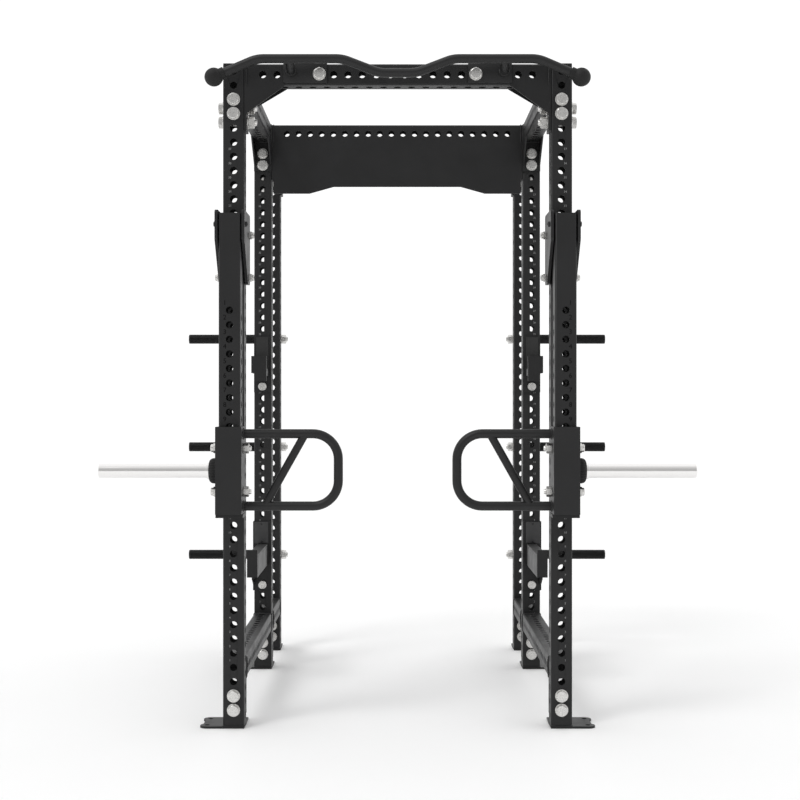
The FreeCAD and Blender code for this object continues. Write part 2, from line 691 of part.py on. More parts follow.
carriage_bolt_heights = [f"{carriage_z} + {sign}*carriage_bolt_offset" for sign in (1, -1)]


def make_carriage():
    half = "carriage_width/2"
    front = f"{front_y} - carriage_front"
    shell = box((f"{post_x} - {half}", f"{post_x} + {half}"), (front, carriage_rear),
                ("carriage_low", "carriage_high"))
    room = box((f"{post_x} - {half} + carriage_wall", f"{post_x} + {half} - carriage_wall"),
               (f"{front} + carriage_wall", f"{carriage_rear} - carriage_wall"),
               ("carriage_low", "carriage_high"))
    bore = "carriage_bolt + 2*bracket_hole_slack"
    holes = [rod(bore, "carriage_width", f"{post_x} - {half}", arm_y, z, "X")
             for z in carriage_bolt_heights]
    return cut(shell, room, *holes)


def make_handle():
    """D-shaped grip with a slanted brace, welded to the carriage's inner face."""
    rise = "handle_height/2"
    points = [("0", rise), ("-handle_reach", rise), ("-handle_reach", f"-{rise}"), ("0", f"-{rise}")]
    body, _ = pipe("handle", points, "handle_bend", "handle_size", "handle_wall")
    put(body, f"{post_x} - carriage_width/2", arm_y, carriage_z)
    run = "(brace_top - brace_bottom)"
    brace = rod("brace_size", f"sqrt({run}^2 + handle_height^2)", f"{post_x} - carriage_width/2 - brace_top",
                arm_y, f"{carriage_z} + {rise}")
    brace.Placement.Rotation = FreeCAD.Rotation(Vector(0, 1, 0), 90)
    brace.setExpression("Placement.Rotation.Angle", full(f"180deg - atan({run}/handle_height)"))
    return fuse(body, brace)


def make_carriage_bolts():
    pieces = []
    for z in carriage_bolt_heights:
        reach = "(carriage_width/2 + carriage_washer_thick)"
        nut_end = f"({reach} + carriage_nut + thread_end)"
        shank = rod("carriage_bolt", f"{reach} + {nut_end}", f"{post_x} - {nut_end}", arm_y, z, "X")
        head = hexagon("carriage_bolt_head", "carriage_bolt_thick", f"{post_x} + {reach}", arm_y, z, "X")
        pieces.append(fuse(shank, head))
        rings = [(f"{post_x} + carriage_width/2", "carriage_washer_thick", rod, "carriage_washer"),
                 (f"{post_x} - {reach}", "carriage_washer_thick", rod, "carriage_washer"),
                 (f"{post_x} - {reach} - carriage_nut", "carriage_nut", hexagon, "carriage_bolt_head")]
        for start, thickness, shape, width in rings:
            ring = shape(width, thickness, start, arm_y, z, "X")
            bore = rod("carriage_bolt + 2*thread_slack", thickness, start, arm_y, z, "X")
            pieces.append(cut(ring, bore))
    return group(pieces)


sleeve_z = f"({carriage_z} - sleeve_drop)"
sleeve_x = f"({post_x} + carriage_width/2)"


def make_bumper():
    blank = rod("bumper_size", "bumper_thick", sleeve_x, arm_y, sleeve_z, "X")
    edge = doc.addObject("Part::Chamfer", "edge")
    edge.Base = blank
    doc.recompute()
    rim = [i for i, e in enumerate(blank.Shape.Edges, start=1)
           if e.Closed and abs(e.CenterOfMass.x - value(f"{sleeve_x} + bumper_thick")) < 0.01]
    edge.Edges = [(i, value("bumper_chamfer"), value("bumper_chamfer")) for i in rim]
    return cut(edge, rod("sleeve_size + 2*bumper_slack", "bumper_thick", sleeve_x, arm_y, sleeve_z, "X"))


def make_sleeve():
    outside = rod("sleeve_size", "sleeve_length", sleeve_x, arm_y, sleeve_z, "X")
    collar = rod("collar_size", "collar_thick", f"{sleeve_x} + bumper_thick", arm_y, sleeve_z, "X")
    inside = rod("sleeve_size - 2*sleeve_wall", "sleeve_length - 2*sleeve_wall", f"{sleeve_x} + sleeve_wall",
                 arm_y, sleeve_z, "X")
    return cut(fuse(outside, collar), inside)


both_sides("carriage", make_carriage())
both_sides("handle", make_handle())
both_sides("carriage_bolts", make_carriage_bolts())
both_sides("bumper", make_bumper())
both_sides("weight_sleeve", make_sleeve())


# ---- bar cups and safety arms on the middle uprights

def make_ear(low, high, plate_thick):
    """Side ear that hooks round the outer face of the upright, with the strip that carries it."""
    out = f"({outer_x} + ear_slack)"
    front = f"{middle_y} - {plate_thick}"
    ear = box((out, f"{out} + ear_thick"), (front, f"{middle_y} + ear_depth"), (low, high))
    strip = box((f"{outer_x} - tube_round", f"{out} + ear_thick"), (front, middle_y), (low, high))
    return fuse(ear, strip)


def make_cup():
    inner = f"({post_x} - cup_inner_offset)"
    outer = f"({inner} + cup_width)"
    front = f"({middle_y} - cup_depth)"
    back = f"({middle_y} - cup_plate)"
    pieces = [
        box((f"{post_x} - tube_width/2", outer_x), (back, middle_y), ("cup_low", "cup_high")),
        box((inner, outer), (front, back), ("cup_shelf_low", "cup_shelf_high")),
        box((inner, outer), (front, f"{front} + cup_lip_thick"), ("cup_lip_low", "cup_lip_high")),
        box((outer, f"{outer} + cup_ear_thick"), (front, back), ("cup_ear_low", "cup_lip_high")),
        make_ear("cup_ear_low", "cup_lip_high", "cup_plate"),
    ]
    hole = rod("hole_size", "cup_plate", post_x, back, "cup_pin_height", "Y")
    return cut(fuse(*pieces), hole)


def make_cup_liner():
    inner = f"({post_x} - cup_inner_offset)"
    outer = f"({inner} + cup_width)"
    front = f"({middle_y} - cup_depth + cup_lip_thick)"
    back = f"({middle_y} - cup_plate)"
    floor = box((inner, outer), (front, back), ("cup_shelf_high", "cup_shelf_high + cup_liner"))
    lip = box((inner, outer), (front, f"{front} + cup_liner"), ("cup_shelf_high", "cup_lip_high"))
    rest = box((inner, outer), (f"{back} - cup_liner", back), ("cup_shelf_high", "cup_high - cup_liner"))
    return fuse(floor, lip, rest)


def make_safety_arm():
    back = f"({middle_y} - cup_plate)"
    front = f"({middle_y} - safety_reach)"
    half = "safety_width/2"
    sides = (f"{post_x} - {half}", f"{post_x} + {half}")
    shell = box(sides, (front, back), ("safety_beam_low", "safety_beam_high"))
    room = box((f"{sides[0]} + safety_wall", f"{sides[1]} - safety_wall"),
               (f"{front} + safety_wall", back),
               ("safety_beam_low + safety_wall", "safety_beam_high - safety_wall"))
    lip = box(sides, (front, f"{front} + safety_lip_thick"), ("safety_beam_high", "safety_lip"))
    backing = box((f"{post_x} - tube_width/2", outer_x), (back, middle_y), ("safety_low", "safety_high"))
    hole = rod("hole_size", "cup_plate", post_x, back, "safety_pin_height", "Y")
    web = [(back, "safety_beam_low"), (f"{back} - safety_gusset", "safety_beam_low"),
           (f"{back} - safety_gusset", "safety_beam_low - safety_gusset_tip"),
           (back, "safety_pin_height")]
    gusset = put(plate("safety_web", "YZ_Plane", web, "cup_plate"),
                 f"{outer_x} + ear_slack + ear_thick - cup_plate", 0, 0)
    ear = make_ear("safety_low", "safety_high", "cup_plate")
    return cut(fuse(cut(shell, room), lip, backing, gusset, ear), hole)


def make_safety_liner():
    half = "safety_width/2"
    return box((f"{post_x} - {half}", f"{post_x} + {half}"),
               (f"{middle_y} - safety_reach + safety_lip_thick", f"{middle_y} - cup_plate"),
               ("safety_beam_high", "safety_beam_high + safety_liner"))


def make_safety_pad():
    inner = f"({post_x} - pad_inner_offset)"
    back = f"({middle_y} - cup_plate)"
    return box((inner, f"{inner} + pad_width"), (f"{back} - pad_thick", back), ("pad_low", "pad_high"))


def make_pad_screws():
    x = f"{post_x} - pad_inner_offset + pad_width/2"
    y = f"{middle_y} - cup_plate - pad_thick - screw_thick"
    return [rod("screw_size", "screw_thick", x, y, z, "Y")
            for z in ("pad_low + screw_edge", "pad_high - screw_edge")]


def make_pin(z):
    back = f"({middle_y} - cup_plate)"
    head = rod("pin_head", "pin_head_thick", post_x, f"{back} - pin_head_thick", z, "Y")
    return fuse(head, rod("pin_size", "pin_length", post_x, back, z, "Y"))


both_sides("bar_cup", make_cup())
both_sides("bar_cup_liner", make_cup_liner())
both_sides("bar_cup_pin", make_pin("cup_pin_height"))
both_sides("safety_arm", make_safety_arm())
both_sides("safety_arm_pin", make_pin("safety_pin_height"))
safety_liner = make_safety_liner()
node(group([safety_liner, mirrored(safety_liner)]), "safety_arm_liners")
pad_piece = make_safety_pad()
node(group([pad_piece, mirrored(pad_piece)]), "safety_arm_pads")
screws = make_pad_screws()
node(group(screws + [mirrored(screw) for screw in screws]), "pad_screws")


# ---- build, check and write

doc.recompute()
faults = [item.Name for item in doc.Objects if {"Invalid", "Error"} & set(item.State)]
faults += [item.Label for item in nodes if item.Shape.isNull() or not item.Shape.isValid()]
if faults:
    raise RuntimeError("these objects failed: " + ", ".join(faults))
os.makedirs("parts", exist_ok=True)
for item in nodes:
    item.Shape.exportStep(f"parts/{item.Label}.step")
print(len(nodes), "nodes,", sum(len(item.Shape.Solids) for item in nodes), "solids")
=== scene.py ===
import json
import math

import bmesh
import bpy
from mathutils import Matrix, Vector


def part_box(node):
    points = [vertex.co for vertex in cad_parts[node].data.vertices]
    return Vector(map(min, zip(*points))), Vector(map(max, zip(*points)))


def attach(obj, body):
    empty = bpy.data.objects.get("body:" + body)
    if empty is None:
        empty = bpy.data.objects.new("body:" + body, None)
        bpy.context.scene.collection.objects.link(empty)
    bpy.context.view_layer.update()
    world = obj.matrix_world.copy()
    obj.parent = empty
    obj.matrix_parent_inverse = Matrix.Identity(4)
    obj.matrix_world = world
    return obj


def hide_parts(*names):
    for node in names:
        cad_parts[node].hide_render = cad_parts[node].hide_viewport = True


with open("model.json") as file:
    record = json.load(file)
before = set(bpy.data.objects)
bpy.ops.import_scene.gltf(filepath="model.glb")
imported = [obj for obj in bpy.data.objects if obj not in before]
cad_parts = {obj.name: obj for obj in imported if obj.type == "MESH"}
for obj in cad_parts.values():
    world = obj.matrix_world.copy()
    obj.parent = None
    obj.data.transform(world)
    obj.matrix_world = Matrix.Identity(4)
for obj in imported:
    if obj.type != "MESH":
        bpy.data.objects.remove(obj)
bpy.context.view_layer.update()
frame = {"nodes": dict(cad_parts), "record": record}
nodes = frame["nodes"]
sides = {"right": 1, "left": -1}
mm = 0.001
fullTurn = 2 * math.pi
print("frame loaded:", len(nodes), "nodes")


def newMaterial(name, color, roughness, metallic=0.0, specular=0.5):
    material = bpy.data.materials.new(name)
    material.use_nodes = True
    shader = material.node_tree.nodes["Principled BSDF"]
    shader.inputs["Base Color"].default_value = (*color, 1)
    shader.inputs["Roughness"].default_value = roughness
    shader.inputs["Metallic"].default_value = metallic
    shader.inputs["Specular IOR Level"].default_value = specular
    return material


noiseSpan = (0.3, 0.7)  # the part of a noise that ramps use


def objectNoise(material, scale, detail, stretch=(1, 1, 1)):
    tree = material.node_tree
    place = tree.nodes.new("ShaderNodeTexCoord")
    mapping = tree.nodes.new("ShaderNodeMapping")
    mapping.inputs["Scale"].default_value = stretch
    noise = tree.nodes.new("ShaderNodeTexNoise")
    noise.inputs["Scale"].default_value = scale
    noise.inputs["Detail"].default_value = detail
    tree.links.new(place.outputs["Object"], mapping.inputs["Vector"])
    tree.links.new(mapping.outputs["Vector"], noise.inputs["Vector"])
    return noise


def addGrain(material, scale, strength, height, stretch=(1, 1, 1)):
    # fine surface relief, the height in metres
    tree = material.node_tree
    noise = objectNoise(material, scale, 2.0, stretch)
    bump = tree.nodes.new("ShaderNodeBump")
    bump.inputs["Strength"].default_value = strength
    bump.inputs["Distance"].default_value = height
    tree.links.new(noise.outputs["Fac"], bump.inputs["Height"])
    shader = tree.nodes["Principled BSDF"]
    if shader.inputs["Normal"].is_linked:
        tree.links.new(shader.inputs["Normal"].links[0].from_socket, bump.inputs["Normal"])
    tree.links.new(bump.outputs["Normal"], shader.inputs["Normal"])


def addRange(material, socket, low, high, scale, stretch=(1, 1, 1)):
    # the socket wanders between two values over the surface
    tree = material.node_tree
    noise = objectNoise(material, scale, 3.0, stretch)
    ramp = tree.nodes.new("ShaderNodeMapRange")
    ramp.inputs["From Min"].default_value, ramp.inputs["From Max"].default_value = noiseSpan
    ramp.inputs["To Min"].default_value = low
    ramp.inputs["To Max"].default_value = high
    tree.links.new(noise.outputs["Fac"], ramp.inputs["Value"])
    tree.links.new(ramp.outputs["Result"], tree.nodes["Principled BSDF"].inputs[socket])


def addTint(material, darker, lighter, scale):
    # the base colour wanders between two tones
    tree = material.node_tree
    noise = objectNoise(material, scale, 3.0)
    ramp = tree.nodes.new("ShaderNodeValToRGB")
    for stop, position, tone in zip(ramp.color_ramp.elements, noiseSpan, (darker, lighter)):
        stop.position = position
        stop.color = (*tone, 1)
    tree.links.new(noise.outputs["Fac"], ramp.inputs["Fac"])
    tree.links.new(ramp.outputs["Color"], tree.nodes["Principled BSDF"].inputs["Base Color"])


def powderCoat():
    material = newMaterial("powderCoat", (0.0105, 0.0105, 0.011), 0.46, specular=0.38)
    addTint(material, (0.0092, 0.0092, 0.0096), (0.012, 0.012, 0.0125), 9)
    addRange(material, "Roughness", 0.42, 0.52, 14)
    addGrain(material, 900, 0.35, 0.00012)
    addGrain(material, 320, 0.25, 0.00018)
    return material


def zincPlate():
    material = newMaterial("zincPlate", (0.70, 0.69, 0.67), 0.30, metallic=1.0)
    addTint(material, (0.60, 0.595, 0.58), (0.80, 0.79, 0.77), 260)
    addRange(material, "Roughness", 0.22, 0.4, 180)
    addGrain(material, 1400, 0.25, 0.00005)
    return material


def hardChrome():
    material = newMaterial("hardChrome", (0.88, 0.87, 0.86), 0.16, metallic=1.0)
    addRange(material, "Roughness", 0.12, 0.2, 40, stretch=(0.1, 1, 1))
    addGrain(material, 700, 0.08, 0.00003, stretch=(0.05, 1, 1))
    return material


def mouldedRubber():
    material = newMaterial("mouldedRubber", (0.009, 0.009, 0.009), 0.62, specular=0.32)
    addTint(material, (0.0075, 0.0075, 0.0075), (0.011, 0.011, 0.011), 35)
    addGrain(material, 1100, 0.4, 0.00012)
    return material


def capPlastic():
    material = newMaterial("capPlastic", (0.02, 0.02, 0.02), 0.5, specular=0.45)
    addRange(material, "Roughness", 0.44, 0.58, 30)
    addGrain(material, 1500, 0.3, 0.00008)
    return material


def linerPlastic():
    material = newMaterial("linerPlastic", (0.042, 0.042, 0.043), 0.52, specular=0.4)
    addTint(material, (0.036, 0.036, 0.037), (0.048, 0.048, 0.049), 25)
    addGrain(material, 700, 0.3, 0.00012, stretch=(1, 1, 0.3))
    return material


def blackOxide():
    material = newMaterial("blackOxide", (0.018, 0.018, 0.019), 0.34, metallic=0.3)
    addRange(material, "Roughness", 0.28, 0.42, 120)
    addGrain(material, 1200, 0.2, 0.00005)
    return material


def numberPaint(name, color):
    material = newMaterial(name, color, 0.6, specular=0.1)
    addRange(material, "Roughness", 0.52, 0.68, 200)
    return material


coat = powderCoat()
zinc = zincPlate()
chrome = hardChrome()
rubber = mouldedRubber()
plastic = capPlastic()
liner = linerPlastic()
oxide = blackOxide()
paleMark = numberPaint("paleMark", (0.30, 0.30, 0.30))
darkMark = numberPaint("darkMark", (0.0015, 0.0015, 0.0015))
slotFinish = {
    "black_frame": coat, "black_steel": oxide, "black_plastic": plastic, "grey_plastic": liner,
    "zinc_steel": zinc, "rubber": rubber, "chrome": chrome,
}
print("materials made:", len(bpy.data.materials))


edges = {"width": 0.9 * mm, "segments": 1, "sharpest": math.radians(50), "weld": 0.01 * mm}
slotOf = {part["node"]: part["material_slot"] for part in frame["record"]["subparts"]}


def softenEdges(piece, width):
    weld = piece.modifiers.new("weld", "WELD")
    weld.merge_threshold = edges["weld"]
    bevel = piece.modifiers.new("bevel", "BEVEL")
    bevel.width = width
    bevel.segments = edges["segments"]
    bevel.limit_method = "ANGLE"
    bevel.angle_limit = edges["sharpest"]
    bevel.use_clamp_overlap = True
    bevel.harden_normals = True


for name, node in nodes.items():
    node.data.materials.clear()
    node.data.materials.append(slotFinish[slotOf[name]])
print("finishes given to the frame")


def finishPiece(bm, name, body, finish, replaced=(), sharpest=28):
    mesh = bpy.data.meshes.new(name)
    bm.to_mesh(mesh)
    bm.free()
    mesh.shade_smooth()
    mesh.set_sharp_from_angle(angle=math.radians(sharpest))
    mesh.materials.append(finish)
    piece = bpy.data.objects.new(name, mesh)
    bpy.context.scene.collection.objects.link(piece)
    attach(piece, body)
    if replaced:
        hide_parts(*replaced)
    return piece


def turned(profile, steps, closed=False):
    # (radius, height) points spun a full turn about the Z axis
    piece = bmesh.new()
    verts = [piece.verts.new((radius, 0, height)) for radius, height in profile]
    following = verts[1:] + (verts[:1] if closed else [])
    chain = [piece.edges.new(pair) for pair in zip(verts, following)]
    bmesh.ops.spin(piece, geom=verts + chain, cent=(0, 0, 0), axis=(0, 0, 1), angle=fullTurn,
                   steps=steps, use_merge=True, use_duplicate=False)
    bmesh.ops.remove_doubles(piece, verts=piece.verts, dist=edges["weld"])
    return piece


def stamp(bm, piece, place):
    # adds a small closed piece to a bigger one, at its place
    bmesh.ops.recalc_face_normals(piece, faces=piece.faces)
    bmesh.ops.transform(piece, matrix=place, verts=piece.verts)
    mesh = bpy.data.meshes.new("stamp")
    piece.to_mesh(mesh)
    piece.free()
    bm.from_mesh(mesh)
    bpy.data.meshes.remove(mesh)


def aimed(point, direction):
    turn = Vector(direction).to_track_quat("Z", "Y").to_matrix().to_4x4()
    return Matrix.Translation(Vector(point)) @ turn


def islandBoxes(nodeName):
    # the corner points of each separate solid of a node
    bm = bmesh.new()
    bm.from_mesh(nodes[nodeName].data)
    bmesh.ops.remove_doubles(bm, verts=bm.verts, dist=edges["weld"])
    left = set(bm.verts)
    groups = []
    while left:
        stack = [left.pop()]
        group = []
        while stack:
            vert = stack.pop()
            group.append(vert.co.copy())
            for edge in vert.link_edges:
                other = edge.other_vert(vert)
                if other in left:
                    left.remove(other)
                    stack.append(other)
        groups.append(group)
    bm.free()
    return groups


def boxOf(points):
    low = Vector(min(p[i] for p in points) for i in range(3))
    high = Vector(max(p[i] for p in points) for i in range(3))
    return low, high


fastener = {"ring": 48, "flatRing": 0.96, "slope": math.tan(math.radians(30)), "pitch": 3 * mm,
            "thread": 1.1 * mm, "threaded": 27 * mm, "endChamfer": 1 * mm, "endReach": 1 * mm,
            "washerRound": 0.6 * mm, "steps": 32, "headFlats": 36 * mm, "headThick": 15 * mm}


def hexPrism(acrossFlats, thickness, bothEnds=False):
    # six flats under a cone, as a forged head or nut has
    inner = acrossFlats / 2 * fastener["flatRing"]
    piece = bmesh.new()
    made = bmesh.ops.create_circle(piece, cap_ends=True, segments=fastener["ring"], radius=inner)
    bmesh.ops.translate(piece, vec=(0, 0, thickness), verts=made["verts"])
    ring = [edge for edge in piece.edges]

    def outline(v, height, fall):
        angle = math.atan2(v.co.y, v.co.x)
        aside = (angle + math.pi / 6) % (math.pi / 3) - math.pi / 6
        reach = acrossFlats / 2 / math.cos(aside)
        v.co = (reach * math.cos(angle), reach * math.sin(angle), height + fall * (reach - inner))

    slope = fastener["slope"]
    for height, fall in ((thickness, -slope), (0, slope if bothEnds else 0)):
        grown = bmesh.ops.extrude_edge_only(piece, edges=ring)["geom"]
        for v in (item for item in grown if isinstance(item, bmesh.types.BMVert)):
            outline(v, height, fall)
        ring = [item for item in grown if isinstance(item, bmesh.types.BMEdge) and item.is_boundary]
    grown = bmesh.ops.extrude_edge_only(piece, edges=ring)["geom"]
    for v in (item for item in grown if isinstance(item, bmesh.types.BMVert)):
        v.co = (inner * v.co.xy.normalized().x, inner * v.co.xy.normalized().y, 0)
    ring = [item for item in grown if isinstance(item, bmesh.types.BMEdge) and item.is_boundary]
    bmesh.ops.contextual_create(piece, geom=ring)
    return piece


def shankProfile(radius, length):
    # plain shank below the head, then a saw-tooth thread down to a chamfered end
    root = radius - fastener["thread"]
    half = fastener["pitch"] / 2
    start = -(length - min(fastener["threaded"], length / 2))
    points = [(0, 0), (radius, 0), (radius, start), (root, start - half)]
    height = start - half
    while height - 3 * half > -length:
        points += [(radius, height - half), (root, height - 2 * half)]
        height -= 2 * half
    return points + [(root - fastener["endChamfer"], -length), (0, -length)]


def addBolt(bm, points):
    # hexagon head and threaded shank over one bolt of a node
    headFlats, thickness = fastener["headFlats"], fastener["headThick"]
    low, high = boxOf(points)
    size = high - low
    axis = max(range(3), key=lambda i: size[i])
    middle = (low + high) / 2
    cross = [i for i in range(3) if i != axis]

    def widest(end):
        near = [p for p in points if abs(p[axis] - end[axis]) < fastener["endReach"]]
        return max(math.hypot(*(p[i] - middle[i] for i in cross)) for p in near)

    headAtHigh = widest(high) > widest(low)
    direction = Vector((0, 0, 0))
    direction[axis] = 1 if headAtHigh else -1
    bearing = middle.copy()
    bearing[axis] = (high[axis] - thickness) if headAtHigh else (low[axis] + thickness)
    radius = min(widest(high), widest(low))
    stamp(bm, hexPrism(headFlats, thickness), aimed(bearing, direction))
    shank = turned(shankProfile(radius, size[axis] - thickness), fastener["steps"])
    stamp(bm, shank, aimed(bearing, direction))


def ringFacts(points):
    # a ring's lower centre, direction, thickness, smallest and largest radius
    low, high = boxOf(points)
    size = high - low
    axis = min(range(3), key=lambda i: size[i])
    middle = (low + high) / 2
    cross = [i for i in range(3) if i != axis]
    reaches = [math.hypot(*(p[i] - middle[i] for i in cross)) for p in points]
    direction = Vector((0, 0, 0))
    direction[axis] = 1
    start = middle.copy()
    start[axis] = low[axis]
    return start, direction, size[axis], min(reaches), max(reaches)


def addWasher(bm, points):
    start, direction, thickness, inner, outer = ringFacts(points)
    bend = fastener["washerRound"]
    profile = [(inner, 0), (outer - bend, 0), (outer, bend), (outer, thickness - bend),
               (outer - bend, thickness), (inner, thickness)]
    stamp(bm, turned(profile, fastener["ring"], closed=True), aimed(start, direction))


def addNut(bm, points):
    start, direction, thickness, inner, outer = ringFacts(points)
    acrossFlats = outer * 2 * math.cos(math.pi / 6)
    stamp(bm, hexPrism(acrossFlats, thickness, bothEnds=True), aimed(start, direction))


bm = bmesh.new()
for points in islandBoxes("frame_bolts"):
    addBolt(bm, points)
finishPiece(bm, "frameBoltsThreaded", "frame", zinc, ["frame_bolts"])
bm = bmesh.new()
for points in islandBoxes("frame_washers"):
    addWasher(bm, points)
finishPiece(bm, "frameWashersRound", "frame", zinc, ["frame_washers"])
bm = bmesh.new()
for points in islandBoxes("frame_nuts"):
    addNut(bm, points)
finishPiece(bm, "frameNutsChamfered", "frame", zinc, ["frame_nuts"])
print("frame fasteners made")


numbers = {"size": 11 * mm, "armSize": 24 * mm, "relief": 0.15 * mm, "aside": 13 * mm, "armAside": 16 * mm,
           "above": 25 * mm, "pitch": 50 * mm, "firstHole": 65 * mm, "lowestMarked": 3, "highestMarked": 39,
           "armTopHole": 1465 * mm, "armHoles": 14, "armGap": 130 * mm,
           "curveSteps": 2}


def addNumber(bm, text, size, x, y, z):
    curve = bpy.data.curves.new("number", "FONT")
    curve.body = text
    curve.size = size
    curve.align_x = "CENTER"
    curve.align_y = "CENTER"
    curve.extrude = numbers["relief"]
    curve.resolution_u = numbers["curveSteps"]
    holder = bpy.data.objects.new("number", curve)
    mesh = bpy.data.meshes.new_from_object(holder)
    mesh.transform(Matrix.Translation((x, y, z)) @ Matrix.Rotation(math.pi / 2, 4, "X"))
    bm.from_mesh(mesh)
    bpy.data.objects.remove(holder)
    bpy.data.meshes.remove(mesh)
    bpy.data.curves.remove(curve)


for sideName, side in sides.items():
    bm = bmesh.new()
    for row in ("front", "middle", "rear"):
        low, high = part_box(f"upright_{row}_{sideName}")
        x = (low.x + high.x) / 2 + side * numbers["aside"]
        for index in range(numbers["lowestMarked"], numbers["highestMarked"] + 1):
            z = numbers["firstHole"] + index * numbers["pitch"] + numbers["above"]
            addNumber(bm, str(index - numbers["lowestMarked"] + 1), numbers["size"], x, low.y, z)
    finishPiece(bm, f"uprightNumbers_{sideName}", "frame", paleMark)
    bm = bmesh.new()
    low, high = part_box(f"lever_arm_{sideName}")
    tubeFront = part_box(f"upright_front_{sideName}")[0].y - numbers["armGap"]
    for index in range(numbers["armHoles"]):
        z = numbers["armTopHole"] - index * numbers["pitch"] + numbers["above"]
        addNumber(bm, str(index + 1), numbers["armSize"], (low.x + high.x) / 2 + side * numbers["armAside"],
                  tubeFront, z)
    finishPiece(bm, f"armNumbers_{sideName}", f"lever_{sideName}", darkMark)
print("hole numbers made")


def bentTube(corners, bend, radius, steps=32, bendSteps=14):
    # straight runs joined by spun bends, starting from a ring at the first corner
    piece = bmesh.new()
    corners = [Vector(corner) for corner in corners]
    made = bmesh.ops.create_circle(piece, cap_ends=True, segments=steps, radius=radius)
    ring = [edge for edge in piece.edges]
    first = (corners[1] - corners[0]).normalized()
    bmesh.ops.transform(piece, matrix=aimed(corners[0], first), verts=made["verts"])
    used = 0.0
    for index in range(1, len(corners)):
        ahead = corners[index] - corners[index - 1]
        direction = ahead.normalized()
        trim, angle = 0.0, 0.0
        if index + 1 < len(corners):
            following = (corners[index + 1] - corners[index]).normalized()
            angle = direction.angle(following)
            trim = bend * math.tan(angle / 2)
        grown = bmesh.ops.extrude_edge_only(piece, edges=ring)["geom"]
        verts = [item for item in grown if isinstance(item, bmesh.types.BMVert)]
        bmesh.ops.translate(piece, vec=direction * (ahead.length - used - trim), verts=verts)
        ring = [item for item in grown if isinstance(item, bmesh.types.BMEdge) and item.is_boundary]
        used = trim
        if angle:
            axis = direction.cross(following).normalized()
            centre = corners[index] - direction * trim + axis.cross(direction) * bend
            spun = bmesh.ops.spin(piece, geom=verts + ring, cent=centre, axis=axis, angle=angle,
                                  steps=bendSteps, use_duplicate=False)["geom_last"]
            ring = [item for item in spun if isinstance(item, bmesh.types.BMEdge)]
    bmesh.ops.contextual_create(piece, geom=ring)
    return piece


weld = {"size": 4 * mm, "ripple": 4 * mm, "swell": 0.16, "cornerPower": 14,
        # (out, up) shares of the bead's size
        "section": ((-0.2, 0), (1, 0), (0.8, 0.5), (0.35, 0.85), (-0.2, 1))}


def weldBead(radius, square=False):
    # rippled bead round a tube where it meets a face, the face being at height 0
    size = weld["size"]
    ripples = int(fullTurn * radius / weld["ripple"])
    profile = [(radius + size * out, size * up) for out, up in weld["section"]]
    piece = turned(profile, ripples * 4, closed=True)
    for v in piece.verts:
        reach, angle = v.co.xy.length, math.atan2(v.co.y, v.co.x)
        proud = (reach - radius) * (1 + weld["swell"] * math.sin(angle * ripples))
        outline = radius
        if square:
            power = weld["cornerPower"]
            outline /= (abs(math.cos(angle)) ** power + abs(math.sin(angle)) ** power) ** (1 / power)
        v.co.x = (outline + proud) * math.cos(angle)
        v.co.y = (outline + proud) * math.sin(angle)
    return piece


grip = {"height": 250 * mm, "bend": 88 * mm, "tube": 16 * mm, "brace": 14 * mm,
        "braceTop": 213 * mm, "braceBottom": 72 * mm}
for sideName, side in sides.items():
    low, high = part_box(f"handle_{sideName}")
    carriageLow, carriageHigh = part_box(f"carriage_{sideName}")
    faceX = min(carriageLow.x * side, carriageHigh.x * side) * side
    tipX = min(abs(low.x), abs(high.x)) * side + grip["tube"] * side
    y = (low.y + high.y) / 2
    z = (carriageLow.z + carriageHigh.z) / 2
    half = grip["height"] / 2
    bm = bmesh.new()
    loop = [(faceX, y, z + half), (tipX, y, z + half), (tipX, y, z - half), (faceX, y, z - half)]
    stamp(bm, bentTube(loop, grip["bend"], grip["tube"]), Matrix())
    braceTop = Vector((faceX - side * grip["braceTop"], y, z + half))
    braceLow = Vector((faceX - side * grip["braceBottom"], y, z - half))
    stamp(bm, bentTube([braceTop, braceLow], grip["bend"], grip["brace"]), Matrix())
    for level in (z + half, z - half):
        stamp(bm, weldBead(grip["tube"]), aimed((faceX, y, level), (-side, 0, 0)))
    finishPiece(bm, f"grip_{sideName}", f"lever_{sideName}", coat, [f"handle_{sideName}"])
print("grips made")

bar = {"tube": 16 * mm, "bend": 120 * mm, "top": 2338.5 * mm, "dip": 49 * mm, "endDrop": 63.5 * mm,
       "dipHalf": 64 * mm, "riseHalf": 192 * mm, "bendHalf": 488 * mm, "endHalf": 636.5 * mm,
       "stubHalf": 375 * mm, "stubFall": 28.5 * mm}
barLow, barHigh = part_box("pull_up_bar")
barY = barLow.y + bar["tube"]
plateY = barHigh.y
plate = {"thick": 8 * mm, "inner": 248 * mm, "outer": 402 * mm, "low": 2272 * mm, "high": 2340 * mm,
         "tab": 27 * mm, "rise": 4 * mm, "bolt": 275 * mm, "round": 0.8 * mm, "beadBack": 0.6}


def roundedSlab(low, high, rounding, segments=2):
    piece = bmesh.new()
    bmesh.ops.create_cube(piece, size=1)
    low, high = Vector(low), Vector(high)
    bmesh.ops.scale(piece, vec=high - low, verts=piece.verts)
    bmesh.ops.translate(piece, vec=(high + low) / 2, verts=piece.verts)
    bmesh.ops.bevel(piece, geom=piece.edges[:], offset=rounding, affect="EDGES", segments=segments,
                    profile=0.5, material=-1)
    return piece


